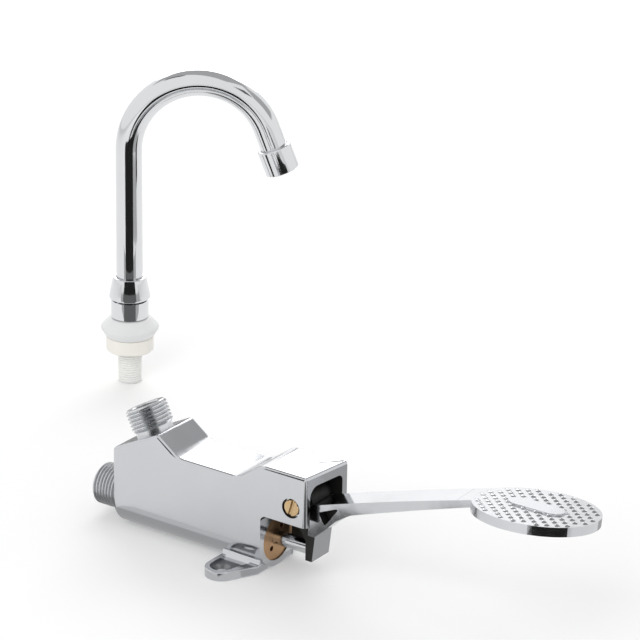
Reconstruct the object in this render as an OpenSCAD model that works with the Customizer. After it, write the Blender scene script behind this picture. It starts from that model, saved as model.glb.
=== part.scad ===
// Foot pedal tap valve with the swan-neck spout of its set, in millimetres.
// X runs along the barrel toward the pedal, Y across it and Z up from the floor.
// The origin lies on the floor, midway between the two floor screw holes.

/* [Valve body] */
// Width across the cheeks, which is also the barrel's diameter
body_w = 29; // [26:0.5:33]
// Floor screw holes back to the rear face
rear_len = 73; // [68:1:80]
// Floor screw holes forward to the barrel's front face
barrel_len = 15.5; // [15:0.5:17.5]
// Floor screw holes forward to the mouth of the hood
hood_len = 41.3; // [41:0.1:45]
// How much farther forward the hood's mouth is on the far side
hood_skew = 3.5; // [0:0.1:5]
// Gap between the barrel's underside and the floor
foot_lift = 0.3; // [0.2:0.1:1]
// Height of the waist between the boss and the hood
waist_h = 47.5; // [45:0.1:49]
// Floor screw holes forward to the foot of the hood's slope
hood_from = 1.6; // [0:0.1:4]
// Rise of the hood's slope, in degrees
hood_slope = 35; // [30:1:45]
// Hood's top above the pivot pin
hood_over = 17; // [15:0.1:18]
// Height of the hood's lower edge
sill_h = 31.5; // [30:0.5:33]
// Wall of the hood's cheeks
cheek_t = 3.2; // [2.6:0.1:4]
// Roof of the hood
roof_t = 5.5; // [3:0.5:6.5]
// Depth of the hollow under the hood
hood_depth = 23.3; // [19:0.1:24.5]
// Radius of the hollow's upper corner on the far side
hollow_r = 3; // [2:0.5:6]
// Radius of that corner on the near side
hollow_near_r = 5.5; // [3:0.5:6]

/* [Outlet boss] */
// Lean of the outlet toward the rear, in degrees
boss_tilt = 27; // [20:1:28]
// Height of the boss at the rear face
boss_rear_h = 42.7; // [41:0.1:45]
// Length of the sloping face of the boss
boss_len = 30; // [28:0.5:31]
// Rear edge of that face to the outlet's centre
outlet_back = 17; // [16:0.5:18.5]
// Fall of the boss's pedal side, in degrees
boss_fall = 36; // [32:1:45]

/* [Floor ears] */
// Distance between the two floor screw holes
ear_span = 48; // [46:1:54]
// Radius of an ear's rounded end
ear_r = 8; // [7:0.5:9]
// Thickness of an ear
ear_t = 4.6; // [4:0.2:6]
// Forward reach of an ear along the barrel
ear_reach = 14.2; // [12:0.2:14.8]
// Floor screw hole
ear_hole_d = 5.5; // [4.5:0.5:6]
// Rim left round the sunk top of an ear
ear_rim = 2.4; // [2:0.1:3]
// Depth of that sunk top
ear_sink = 1.4; // [0.8:0.1:2]
// Length of the far wall beside the push rod
web_len = 14.5; // [12:0.5:16]
// Height of that wall's lower edge
web_low = 5; // [4.8:0.1:8]

/* [Ports] */
// Outside diameter of the half-inch pipe thread
thread_d = 20.955; // [20:0.005:22]
// Pitch of that thread
thread_p = 1.814; // [1.5:0.001:2]
// Depth of that thread
thread_h = 1.162; // [0.9:0.001:1.3]
// Length of the inlet outside the body
inlet_len = 16.7; // [14:0.1:20]
// Length of the outlet outside the boss
outlet_len = 14; // [12:0.1:18]
// Diameter of a nipple's spigot inside the body
spigot_d = 16.6; // [16:0.2:18]
// Length of that spigot
spigot_len = 10; // [8:0.5:11]
// Waterway of the inlet
inlet_bore_d = 14; // [12:0.2:14.4]
// Waterway of the outlet
outlet_bore_d = 13; // [11:0.2:14]
// Waterway at the spring's perch in the inlet
perch_d = 9; // [8:0.2:9.4]
// Thickness of that perch
perch_t = 3; // [2:0.5:4]
// Cast waterway between the seat and the outlet
pass_d = 10; // [8:0.2:10.4]
// Metal between that waterway and the chambers
pass_web = 2.5; // [2:0.1:3.5]

/* [Valve works] */
// Diameter of the gland nut
gland_d = 23; // [21:0.5:23.5]
// Length of the gland nut
gland_len = 17.5; // [15:0.5:19]
// Setback of the gland nut in the barrel
gland_inset = 0.6; // [0.2:0.1:1.5]
// Thickness of the gland gasket
gasket_t = 1.5; // [1:0.1:2]
// Pin spanner holes in the gland nut
spanner_d = 2.6; // [2:0.1:3]
// Circle of those holes
spanner_pcd = 12.6; // [12.2:0.1:13.4]
// Outlet chamber's diameter
chamber_d = 18; // [17.6:0.2:19]
// Outlet chamber's length
chamber_len = 24; // [22:0.5:26]
// Thickness of the seat
seat_t = 4; // [3:0.5:5]
// Opening of the seat
seat_bore_d = 9.2; // [8.8:0.1:9.8]
// Inlet chamber's diameter
inlet_chamber_d = 15; // [14.8:0.1:16]
// Diameter of the sealing disc
disc_d = 12; // [11.4:0.2:12.6]
// Thickness of the sealing disc
disc_t = 2.5; // [2:0.1:3.5]
// Diameter of the disc's holder
holder_d = 12.6; // [12.4:0.1:13.2]
// Thickness of the disc's holder
holder_t = 3; // [2:0.5:4]
// Thickness of the disc nut
disc_nut_t = 4; // [3:0.5:5]
// Diameter of the spindle
spindle_d = 5; // [4.4:0.1:5.4]
// Diameter of the push rod
push_rod_d = 7; // [6.8:0.1:7.4]
// Length of the push rod that the gland nut guides
push_rod_in = 8; // [7:0.5:10]
// Depth of the spindle's thread in the push rod
rod_joint = 5; // [4:0.5:6]
// Wire of the return spring
spring_wire = 1.1; // [0.9:0.1:1.2]
// Mean diameter of the return spring
spring_d = 10.6; // [10.5:0.1:11]
// Turns of the return spring
spring_turns = 8; // [6:1:9]

/* [Pedal] */
// Mouth of the hood back to the pivot pin
pivot_in = 8.3; // [7.8:0.1:10]
// Height of the pivot
pivot_h = 40; // [39:0.5:42]
// Diameter of the pivot pin
pin_d = 6; // [5:0.1:6.4]
// Diameter of the pin's slotted head
pin_head_d = 8.4; // [7.8:0.1:9]
// Sunk place round that head
pin_sink_d = 10; // [9.6:0.1:11]
// Width of the lever's hub and heel
head_w = 14; // [12:0.5:16]
// Radius of the lever's hub
hub_r = 7.5; // [6.5:0.1:8]
// Thickness of the heel at its foot
heel_t = 3.7; // [3.4:0.1:5]
// Pivot to the heel's rear face, along the barrel
heel_ahead = 3.5; // [3:0.1:4]
// Wear button's crown proud of the heel
button_out = 1.5; // [1:0.1:2]
// Diameter of the wear button
button_d = 8; // [7:0.2:9]
// Radius of the wear button's crown
button_crown = 8; // [7:0.5:12]
// Width of the arm
arm_w = 16; // [15:0.5:19]
// Thickness of the arm at its root
arm_root_t = 7; // [5.5:0.1:8.5]
// Thickness of the arm at the pad
arm_tip_t = 3.6; // [3:0.1:5]
// Rise of the arm's crown above a straight line
arm_bow = 0.5; // [0.3:0.1:2]
// Arm's top below the pad's, where they meet
arm_step = 1.5; // [0.5:0.1:2]
// Web between the two pockets at the arm's root
arm_web = 6; // [4:0.5:8]
// Pivot to the pad's centre, along the barrel
pad_reach = 124; // [118:1:132]
// Pivot to the pad's centre, upward
pad_rise = 30; // [24:0.5:32]
// Radius of the pad
pad_r = 29.5; // [27:0.5:32]
// Thickness of the pad
pad_t = 4.4; // [4:0.1:7]
// Upward lean of the pad, in degrees
pad_tilt = 0.5; // [0:0.5:9]
// Twist of the pad about the arm, in degrees
pad_twist = 9.5; // [0:0.5:12]
// Pitch of the tread's small pyramids
tread_p = 4.7; // [4.4:0.1:6]
// Height of a pyramid
tread_h = 0.6; // [0.4:0.1:1]
// Width of a pyramid at its foot
tread_w = 3.3; // [2.6:0.1:4]
// Length of the plain patch in the tread
patch_len = 28; // [20:1:34]
// Width of that patch
patch_w = 12; // [10:0.5:16]
// Height of the patch above the tread
patch_h = 0.8; // [0.7:0.1:1.2]

/* [Spout] */
// Floor screw holes back to the spout, which stands by itself on the floor
spout_back = 182; // [170:0.1:200]
// Barrel's axis sideways to the spout
spout_side = 138; // [130:0.1:150]
// Turn of the swan neck from the barrel's line, in degrees
spout_turn = 34.5; // [0:0.5:60]
// Outside diameter of the swan neck
tube_d = 14.3; // [13.8:0.1:14.6]
// Wall of the swan neck
tube_wall = 1.2; // [1:0.1:1.4]
// Radius of the bend
bend_r = 37.5; // [34:0.25:44]
// Lean of the falling end: run outward
fall_run = 44; // [30:1:60]
// Lean of the falling end: drop over that run
fall_drop = 117; // [100:1:140]
// Straight rise from the nut to the bend
neck_rise = 71.5; // [60:0.1:100]
// Straight end after the bend, with the aerator
neck_end = 25; // [24:0.1:34]
// Diameter of the aerator
aerator_d = 18.5; // [17.6:0.1:20]
// Length of the aerator
aerator_len = 14.1; // [13.6:0.1:16]
// Opening of the aerator
aerator_mouth_d = 12.4; // [11:0.1:13]
// Length of the aerator's insert
insert_len = 5.6; // [4.6:0.1:5.8]
// Depth of the swan neck in the aerator
aerator_grip = 5.6; // [4.6:0.1:6]
// Diameter of the swivel nut at its top
nut_top_d = 18; // [17.4:0.1:19]
// Diameter of the swivel nut at its foot
nut_foot_d = 22.1; // [21.4:0.1:23]
// Height of the swivel nut
nut_h = 12.8; // [12:0.1:14.5]
// Diameter of the collar
collar_d = 20.3; // [19.4:0.1:21]
// Height of the collar
collar_h = 10.4; // [10:0.1:11.4]
// Widest diameter of the deck flange
flange_d = 31.3; // [29:0.1:34]
// Height of the deck flange
flange_h = 10.4; // [9:0.1:11.4]
// Diameter of the deck washer
washer_d = 25.6; // [23:0.1:28]
// Height of the deck washer
washer_h = 8.6; // [7:0.1:10]
// Outside diameter of the quarter-inch shank thread
shank_d = 13.157; // [12.8:0.001:13.6]
// Pitch of the shank thread
shank_p = 1.337; // [1.2:0.001:1.5]
// Depth of the shank thread
shank_thread_h = 0.85; // [0.6:0.01:0.9]
// Length of the threaded shank below the washer
shank_len = 18.5; // [16:0.1:26]
// Waterway of the shank
shank_bore_d = 8; // [7:0.1:8.4]

/* [Fits] */
// Running fit of a pin or rod, all round
run_gap = 0.05; // [0.02:0.01:0.1]
// Gap between flat faces that move past each other
side_gap = 0.3; // [0.2:0.05:0.4]
// Gap of the closed disc from its seat
seal_gap = 0.2; // [0.1:0.05:0.3]
// Gap between the push rod and the wear button
rod_gap = 0.3; // [0.2:0.05:0.4]

/* [Hidden] */
$fn = 64;
axis_z = body_w / 2 + foot_lift;
barrel_r = body_w / 2;
x_rear = -rear_len;
x_barrel = barrel_len;
x_mouth = hood_len;
x_front = x_mouth + hood_skew;
skew = hood_skew / body_w;
pivot_x = hood_len - pivot_in;
hood_h = pivot_h + hood_over;
thread_r = thread_d / 2;
thread_root = thread_r - thread_h;
spigot_r = spigot_d / 2;
push_r = push_rod_d / 2;
// Disc nut that goes inside the spring's chords
disc_nut_af = 2 * cos(30) * ((spring_d - spring_wire) / 2 * cos(22.5) - side_gap / 2);
spindle_r = spindle_d / 2;
pin_r = pin_d / 2;
// Stations along the barrel, from the gland nut back to the spring's perch
x_gland = x_barrel - gland_inset;
x_gland_back = x_gland - gland_len;
x_gasket_back = x_gland_back - gasket_t;
x_seat = x_gasket_back - chamber_len;
x_disc = x_seat - seal_gap;
x_holder = x_disc - disc_t;
x_disc_nut = x_holder - holder_t;
x_tail = x_disc_nut - disc_nut_t - 1;
x_perch = x_rear + spigot_len;
// Outlet's foot on the boss, and the cast waterway that leads to it
boss_x = x_rear + outlet_back * cos(boss_tilt);
boss_z = boss_rear_h + outlet_back * sin(boss_tilt);
pass_z = axis_z + chamber_d / 2 + pass_web + pass_d / 2;
pass_reach = (boss_z - pass_z) / cos(boss_tilt);
pass_x = boss_x + pass_reach * sin(boss_tilt);
drop_x = (x_gasket_back + x_seat + seat_t) / 2;
// Corners of the body's side view
boss_top_x = x_rear + boss_len * cos(boss_tilt);
boss_top_z = boss_rear_h + boss_len * sin(boss_tilt);
waist_x0 = boss_top_x + (boss_top_z - waist_h) / tan(boss_fall);
hood_rise = hood_h - waist_h;
hood_x1 = hood_from + hood_rise / tan(hood_slope);
// Floor ears
ear_y = ear_span / 2;
// Push rod, heel and wear button
x_rod_back = x_gland - push_rod_in;
x_heel = pivot_x + heel_ahead;
x_crown = x_heel - button_out;
x_rod_end = x_crown - rod_gap;
heel_low = axis_z - push_r;
heel_drop = pivot_h - heel_low;
cheek_y = body_w / 2 - cheek_t;
// Pad's rear edge, seen from the pivot
edge_x = pad_reach - pad_r * cos(pad_tilt);
edge_z = pad_rise - pad_r * sin(pad_tilt) - arm_step;
arm_x0 = x_heel + heel_t + 2.3 - pivot_x;
arm_z0 = 1.8;
// Levels up the spout
z_washer = shank_len;
z_flange = z_washer + washer_h;
z_collar = z_flange + flange_h;
z_nut = z_collar + collar_h;
z_nut_top = z_nut + nut_h;
z_bend = z_nut_top + neck_rise;
tube_r = tube_d / 2;
fall = [fall_run, fall_drop] / norm([fall_run, fall_drop]);
tube_bore_r = tube_r - tube_wall;
shank_r = shank_d / 2;
shank_bore_r = shank_bore_d / 2;
neck_r = shank_r - 0.2;
bush_r = tube_r + run_gap + 0.85;
socket_r = bush_r + run_gap + 0.8;
plug_r = tube_bore_r - 0.1;
plug_top = z_nut - 2.6;
lip_z = z_nut + 0.37 * nut_h;
ring_w = 1.7;
tail_ring_s = 0.65;
spigot2_r = shank_bore_r + 1.4;
spigot2_len = flange_h - 1.4;

// Corner cut back to its tangent points and turned with a radius
function unit(v) = v / norm(v);
function turn(a, p, c, r, n) =
  let (u = unit(a - p), w = unit(c - p))
  let (h = acos(u * w) / 2, m = p + unit(u + w) * r / sin(h))
  let (s = p + u * r / tan(h) - m, e = p + w * r / tan(h) - m)
  let (a0 = atan2(s[1], s[0]), da = atan2(s[0] * e[1] - s[1] * e[0], s * e))
  [for (i = [0 : n]) m + r * [cos(a0 + da * i / n), sin(a0 + da * i / n)]];
function rounded(pts, rad, n) =
  let (k = len(pts))
  [for (i = [0 : k - 1])
    each rad[i] > 0 ? turn(pts[(i + k - 1) % k], pts[i], pts[(i + 1) % k], rad[i], n) : [pts[i]]];

// Ring ridges that stand for a thread, as points of radius and height
function ridge(r, p, d, z) =
  [[r - d, z], [r, z + 0.3 * p], [r, z + 0.6 * p], [r - d, z + 0.9 * p]];
function ridges(r, p, d, z, n) = [for (i = [0 : n - 1]) each ridge(r, p, d, z + i * p)];

// Cylinder along the barrel's axis
module rod_x(x0, x1, r) {
  translate([x0, 0, axis_z])
    rotate([0, 90, 0])
      cylinder(r = r, h = x1 - x0);
}

// Side view extruded across the barrel
module across(w) {
  translate([0, w / 2, 0])
    rotate([90, 0, 0])
      linear_extrude(w)
        children();
}

// Outlet's own frame, with Z out of the boss
module at_outlet() {
  translate([boss_x, 0, boss_z])
    rotate([0, -boss_tilt, 0])
      children();
}

// Ring of round section about the Z axis
module o_ring(r, s, z) {
  translate([0, 0, z])
    rotate_extrude()
      translate([r, 0])
        circle(s, $fn = 32);
}

// Body
module body_side() {
  polygon(rounded(
    [[x_rear, axis_z], [x_barrel, axis_z], [x_barrel, sill_h], [x_front, sill_h],
     [x_front, hood_h], [hood_x1, hood_h], [hood_from, waist_h],
     [waist_x0, waist_h], [boss_top_x, boss_top_z], [x_rear, boss_rear_h]],
    [0, 0, 3, 2, 1.5, 10, 10, 12, 1.8, 1.6], 8));
}

module ear_plan(r, reach, inner) {
  foot = [reach, -barrel_r];
  aim = foot - [0, -ear_y];
  a1 = atan2(aim[1], aim[0]) - acos(r / norm(aim));
  polygon(concat(
    [[-r, -inner]],
    [for (i = [0 : 16]) [0, -ear_y] + r * [cos(180 + (180 + a1) * i / 16), sin(180 + (180 + a1) * i / 16)]],
    [foot, [reach, -inner]]));
}

module ear() {
  difference() {
    linear_extrude(ear_t)
      ear_plan(ear_r, ear_reach, 4);
    translate([0, 0, ear_t - ear_sink])
      linear_extrude(ear_sink + 1)
        ear_plan(ear_r - ear_rim, ear_reach - 2.2 * ear_rim, barrel_r);
    translate([0, -ear_y, -1])
      cylinder(d = ear_hole_d, h = ear_t + 2);
  }
}

// Wall on the far side of the push rod, from the barrel's end to the cheek
module far_web() {
  y0 = gland_d / 2 + run_gap + 0.3;
  translate([0, body_w / 2, 0])
    rotate([90, 0, 0])
      linear_extrude(body_w / 2 - y0)
        polygon(rounded(
          [[x_barrel - 1, web_low], [x_barrel + web_len, web_low],
           [x_barrel + web_len, sill_h + 1], [x_barrel - 1, sill_h + 1]],
          [0, 6, 0, 0], 8));
}

module hood_hollow() {
  top = hood_h - roof_t;
  x0 = x_mouth - hood_depth;
  translate([x0, 0, 0])
    rotate([90, 0, 90])
      linear_extrude(hood_depth + hood_skew + 1)
        polygon(rounded(
          [[-cheek_y, sill_h - 1], [cheek_y, sill_h - 1], [cheek_y, top], [-cheek_y, top]],
          [0, 0, hollow_r, hollow_near_r], 8));
}

// Slanting front of the hood
module mouth_cut() {
  y1 = body_w / 2 + 1;
  translate([0, 0, axis_z])
    linear_extrude(hood_h)
      polygon([[x_mouth - skew, -y1], [x_front + 10, -y1], [x_front + 10, y1], [x_front + skew, y1]]);
}

module valve_body() {
  color([0.8, 0.81, 0.83])
    difference() {
      union() {
        across(body_w)
          body_side();
        intersection() {
          rod_x(x_rear, x_barrel, barrel_r);
          translate([x_rear, -barrel_r, axis_z - barrel_r])
            cube([rear_len + x_barrel, body_w, barrel_r]);
        }
        ear();
        mirror([0, 1, 0])
          ear();
        far_web();
      }
      hood_hollow();
      mouth_cut();
      rod_x(x_gasket_back, x_barrel + 1, gland_d / 2 + run_gap);
      rod_x(x_seat, x_barrel, chamber_d / 2);
      rod_x(x_perch - 1, x_seat + 1, inlet_chamber_d / 2);
      rod_x(x_rear - 1, x_perch, spigot_r + run_gap);
      at_outlet() {
        translate([0, 0, -spigot_len])
          cylinder(r = spigot_r + run_gap, h = spigot_len + boss_len);
        translate([0, 0, -pass_reach - 3])
          cylinder(d = pass_d + 1, h = pass_reach);
      }
      translate([pass_x - 2, 0, pass_z])
        rotate([0, 90, 0])
          cylinder(d = pass_d, h = drop_x - pass_x + 5);
      translate([drop_x, 0, axis_z])
        cylinder(d = pass_d - 0.6, h = pass_z - axis_z + 1);
      translate([pivot_x, body_w, pivot_h])
        rotate([90, 0, 0])
          cylinder(r = pin_r + run_gap, h = 2 * body_w);
      translate([pivot_x, -body_w / 2 + cheek_t / 2, pivot_h])
        rotate([90, 0, 0])
          cylinder(d = pin_sink_d, h = cheek_t);
    }
}

// Nipple with its foot at Z 0, its spigot below and its thread above
module nipple(length, bore, perch) {
  n = floor((length - 2.4) / thread_p);
  z0 = length - 0.4 - n * thread_p;
  difference() {
    rotate_extrude()
      polygon(concat(
        [[0, -spigot_len], [spigot_r, -spigot_len], [spigot_r, 0], [thread_root, 0]],
        ridges(thread_r, thread_p, thread_h, z0, n),
        [[thread_root, length], [0, length]]));
    translate([0, 0, perch > 0 ? perch_t - spigot_len : -spigot_len - 1])
      cylinder(d = bore, h = length + spigot_len + 2);
    if (perch > 0)
      translate([0, 0, -spigot_len - 1])
        cylinder(d = perch, h = perch_t + 2);
  }
}

module inlet_nipple() {
  color([0.62, 0.63, 0.65])
    translate([x_rear, 0, axis_z])
      rotate([0, -90, 0])
        nipple(inlet_len, inlet_bore_d, perch_d);
}

module outlet_nipple() {
  color([0.72, 0.73, 0.75])
    at_outlet()
      nipple(outlet_len, outlet_bore_d, 0);
}

// Valve works along the barrel
module valve_seat() {
  color([0.8, 0.62, 0.3])
    difference() {
      rod_x(x_seat, x_seat + seat_t, chamber_d / 2 - run_gap);
      rod_x(x_seat - 1, x_seat + seat_t + 1, seat_bore_d / 2);
    }
}

ring_s = 0.72;
ring_r = push_r + run_gap + ring_s;

module gland_nut() {
  color([0.82, 0.64, 0.32])
    difference() {
      rod_x(x_gland_back, x_gland, gland_d / 2);
      rod_x(x_gland_back - 1, x_gland + 1, push_r + run_gap);
      for (i = [1, 2])
        rod_x(x_gland - 3.2 * i, x_gland - 3.2 * i + 1.8, ring_r + ring_s + run_gap);
      for (a = [50, 230])
        translate([x_gland - 4, spanner_pcd / 2 * cos(a), axis_z + spanner_pcd / 2 * sin(a)])
          rotate([0, 90, 0])
            cylinder(d = spanner_d, h = 5);
    }
}

module gland_gasket() {
  color([0.15, 0.15, 0.16])
    difference() {
      rod_x(x_gasket_back, x_gland_back, gland_d / 2 - 0.2);
      rod_x(x_gasket_back - 1, x_gland_back + 1, chamber_d / 2 - 2);
    }
}

module gland_rings() {
  color([0.1, 0.1, 0.11])
    for (i = [1, 2])
      translate([x_gland - 3.2 * i + 0.9, 0, axis_z])
        rotate([0, 90, 0])
          o_ring(ring_r, ring_s, 0);
}

module push_rod() {
  color([0.86, 0.87, 0.88])
    difference() {
      union() {
        rod_x(x_rod_back, x_rod_end - 0.6, push_r);
        translate([x_rod_end - 0.6, 0, axis_z])
          rotate([0, 90, 0])
            cylinder(r1 = push_r, r2 = push_r - 0.6, h = 0.6);
      }
      rod_x(x_rod_back - 1, x_rod_back + rod_joint + 0.3, spindle_r + run_gap);
    }
}

module spindle() {
  color([0.83, 0.66, 0.36])
    union() {
      rod_x(x_tail, x_rod_back + rod_joint, spindle_r);
      rod_x(x_disc, x_disc + 1.2, spindle_r + 1.1);
    }
}

module disc_holder() {
  color([0.8, 0.63, 0.34])
    difference() {
      rod_x(x_disc_nut, x_holder, holder_d / 2);
      rod_x(x_disc_nut - 1, x_holder + 1, spindle_r + run_gap);
    }
}

module valve_disc() {
  color([0.12, 0.12, 0.13])
    difference() {
      rod_x(x_holder, x_disc, disc_d / 2);
      rod_x(x_holder - 1, x_disc + 1, spindle_r + run_gap);
    }
}

module disc_nut() {
  color([0.84, 0.68, 0.38])
    difference() {
      translate([x_disc_nut - disc_nut_t, 0, axis_z])
        rotate([0, 90, 0])
          cylinder(d = disc_nut_af / cos(30), h = disc_nut_t, $fn = 6);
      rod_x(x_disc_nut - disc_nut_t - 1, x_disc_nut + 1, spindle_r + run_gap);
    }
}

// Return spring, one unbroken wire of eight six-sided rings a turn
spring_x0 = x_perch + side_gap + spring_wire / 2;
spring_x1 = x_disc_nut - side_gap - spring_wire / 2;
spring_n = 8 * spring_turns;
function spring_at(i) =
  [spring_x0 + (spring_x1 - spring_x0) * i / spring_n,
   spring_d / 2 * cos(45 * i), axis_z + spring_d / 2 * sin(45 * i)];
function spring_ring(i) =
  let (out = [0, cos(45 * i), sin(45 * i)], ahead = [1, 0, 0], c = spring_at(i))
  [for (k = [0 : 5]) c + spring_wire / 2 * (out * cos(60 * k) + ahead * sin(60 * k))];
spring_gap = min([for (i = [0 : spring_n - 6], j = [i + 6 : spring_n])
  norm(spring_at(i) - spring_at(j))]) - spring_wire;
echo(least_gap_of_the_return_spring_to_itself = spring_gap);

module return_spring() {
  pts = [for (i = [0 : spring_n]) each spring_ring(i)];
  last = 6 * spring_n;
  faces = concat(
    [for (k = [1 : 4]) [0, k, k + 1]],
    [for (k = [1 : 4]) [last, last + k + 1, last + k]],
    [for (i = [0 : spring_n - 1], k = [0 : 5])
      [6 * i + k, 6 * i + 6 + k, 6 * i + (k + 1) % 6]],
    [for (i = [0 : spring_n - 1], k = [0 : 5])
      [6 * i + (k + 1) % 6, 6 * i + 6 + k, 6 * i + 6 + (k + 1) % 6]]);
  color([0.7, 0.71, 0.73])
    polyhedron(points = pts, faces = faces, convexity = 6);
}

// Pedal, seen from the pivot
module at_pivot() {
  translate([pivot_x, 0, pivot_h])
    children();
}

function arm_top(x) =
  let (t = (x - arm_x0) / (edge_x - arm_x0))
  arm_z0 + (edge_z - arm_z0) * t + 4 * arm_bow * t * (1 - t);
function arm_low(x) =
  let (t = (x - arm_x0) / (edge_x - arm_x0))
  arm_top(x) - arm_root_t + (arm_root_t - arm_tip_t) * t;

module arm_side() {
  n = 8;
  root = arm_x0 + 20;
  far = edge_x + 3;
  polygon(concat(
    [[arm_x0 - 4, -15], [arm_x0 - 0.5, -15], [arm_x0 + 5.4, -9.6], [arm_x0 + 11.4, -3.4],
     [arm_x0 + 15.5, -0.6]],
    [for (i = [0 : n]) let (x = root + (far - root) * i / n) [x, arm_low(x)]],
    [for (i = [0 : n]) let (x = far + (arm_x0 - far) * i / n) [x, arm_top(x)]],
    [[arm_x0 - 4, arm_z0 - 1]]));
}

module pocket_side() {
  polygon(rounded(
    [[arm_x0 + 1.6, -1.4], [arm_x0 + 5.2, -7.6], [arm_x0 + 13.6, arm_top(arm_x0 + 13.6) - 2.4]],
    [0.6, 0.8, 0.6], 4));
}

module head_side() {
  drop = heel_drop;
  polygon([[x_heel - pivot_x, -drop], [x_heel - pivot_x + heel_t, -drop], [arm_x0, -9],
           [arm_x0 - 0.8, -2], [arm_x0 - 3.4, hub_r * 0.55], [0, 0], [-hub_r * 0.96, -2],
           [x_heel - pivot_x, -drop + 2 * push_r + 3]]);
}

module tread() {
  n = ceil(pad_r / tread_p);
  reach = pad_r - 0.75 * tread_w;
  rotate([0, 0, 45])
    for (i = [-n : n], j = [-n : n])
      if (norm([i + 0.5, j + 0.5]) * tread_p < reach)
        translate([(i + 0.5) * tread_p, (j + 0.5) * tread_p, -0.2])
          linear_extrude(tread_h + 0.2, scale = 0.3)
            square(tread_w, center = true);
}

module patch(h) {
  span = patch_len - patch_w;
  translate([-span / 2, 0, 0])
    cylinder(d = patch_w, h = h);
  translate([span / 2, 0, 0])
    cylinder(d = patch_w, h = h);
  translate([-span / 2, -patch_w / 2, 0])
    cube([span, patch_w, h]);
}

module pedal_lever() {
  color([0.83, 0.84, 0.86])
    at_pivot()
      difference() {
        union() {
          rotate([90, 0, 0])
            cylinder(r = hub_r, h = head_w, center = true);
          across(head_w)
            head_side();
          difference() {
            across(arm_w)
              arm_side();
            translate([pad_reach, 0, pad_rise])
              rotate([-pad_twist, -pad_tilt, 0])
                cylinder(r = pad_r + 0.2, h = 10);
          }
          translate([pad_reach, 0, pad_rise])
            rotate([-pad_twist, -pad_tilt, 0]) {
              translate([0, 0, -pad_t])
                cylinder(r = pad_r, h = pad_t);
              tread();
              translate([0, 0, -pad_t])
                patch(pad_t + patch_h);
            }
        }
        for (m = [0, 1])
          mirror([0, m, 0])
            translate([0, arm_web / 2 + arm_w / 2, 0])
              across(arm_w)
                pocket_side();
        rotate([90, 0, 0])
          cylinder(r = pin_r + run_gap, h = 2 * head_w, center = true);
        translate([x_heel - pivot_x - 1, 0, axis_z - pivot_h])
          rotate([0, 90, 0])
            cylinder(r = button_d / 4 + run_gap, h = heel_t * 0.7 + 1);
      }
}

module wear_button() {
  color([0.55, 0.56, 0.58])
    union() {
      intersection() {
        rod_x(x_crown, x_heel, button_d / 2);
        translate([x_crown + button_crown, 0, axis_z])
          sphere(button_crown);
      }
      rod_x(x_heel - 0.5, x_heel + heel_t * 0.7 - 0.3, button_d / 4);
    }
}

module pivot_pin() {
  head_y = -body_w / 2 + 0.3;
  color([0.85, 0.66, 0.33])
    at_pivot()
      difference() {
        union() {
          translate([0, head_y, 0])
            rotate([-90, 0, 0])
              cylinder(d = pin_head_d, h = cheek_t / 2 - 0.3);
          translate([0, -body_w / 2 + cheek_t / 2 - 0.2, 0])
            rotate([-90, 0, 0])
              cylinder(r = pin_r, h = body_w - cheek_t / 2 - 0.3);
        }
        translate([0, head_y, 0])
          rotate([0, 16, 0])
            cube([1.1, 1.6, pin_head_d + 2], center = true);
      }
}

module pivot_spacers() {
  length = cheek_y - head_w / 2 - side_gap;
  color([0.06, 0.06, 0.06])
    at_pivot()
      for (m = [0, 1])
        mirror([0, m, 0])
          translate([0, head_w / 2 + side_gap, 0])
            rotate([-90, 0, 0])
              difference() {
                cylinder(r = pin_r + 2.5, h = length);
                translate([0, 0, -1])
                  cylinder(r = pin_r + run_gap, h = length + 2);
              }
}

// Spout, on its own axis and turned to its rest place
module at_spout() {
  translate([-spout_back, spout_side, 0])
    rotate([0, 0, spout_turn])
      children();
}

// Frame at the end of the bend, with Z along the falling end
module at_neck_end() {
  translate([bend_r + bend_r * fall[1], 0, z_bend + bend_r * fall[0]])
    rotate([0, 180 - atan2(fall[0], fall[1]), 0])
      children();
}

z_tube = plug_top + 2.2;
tube_end = neck_end - aerator_len + aerator_grip;

// Falling end laps into the bend, with walls a trifle thicker so that they meet at any lean
end_lap = 1.2;
end_swell = 0.1;

module tube_ring(swell) {
  difference() {
    circle(tube_r + swell);
    circle(tube_bore_r - swell);
  }
}

module spout_tube() {
  color([0.84, 0.85, 0.87])
    at_spout()
      union() {
        translate([0, 0, z_tube])
          linear_extrude(z_bend - z_tube)
            tube_ring(0);
        translate([bend_r, 0, z_bend])
          rotate([90, 0, 0])
            intersection() {
              rotate_extrude()
                translate([bend_r, 0])
                  tube_ring(0);
              translate([0, 0, -tube_d])
                linear_extrude(2 * tube_d)
                  polygon(3 * bend_r * [[0, 0], [fall[1], fall[0]], [1, 1], [-1, 1], [-1, 0]]);
            }
        at_neck_end()
          translate([0, 0, -end_lap])
            linear_extrude(tube_end + end_lap)
              tube_ring(end_swell);
      }
}

module tube_tail() {
  color([0.8, 0.63, 0.33])
    at_spout()
      difference() {
        union() {
          translate([0, 0, plug_top - 5.6])
            cylinder(r = plug_r, h = 5.8);
          translate([0, 0, plug_top + 0.2])
            cylinder(r = bush_r - 0.1, h = 2);
          translate([0, 0, plug_top + 2.2])
            cylinder(r = tube_bore_r - run_gap, h = 9);
        }
        for (i = [0, 1])
          translate([0, 0, plug_top - 5 + 2.6 * i])
            difference() {
              cylinder(r = plug_r + 1, h = ring_w);
              translate([0, 0, -1])
                cylinder(r = plug_r - 2 * tail_ring_s - run_gap, h = ring_w + 2);
            }
        translate([0, 0, plug_top - 10])
          cylinder(r = shank_bore_r - 0.4, h = 3 * nut_h);
      }
}

module tail_rings() {
  color([0.1, 0.1, 0.11])
    at_spout()
      for (i = [0, 1])
        o_ring(plug_r - tail_ring_s, tail_ring_s, plug_top - 5 + 2.6 * i + ring_w / 2);
}

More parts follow.
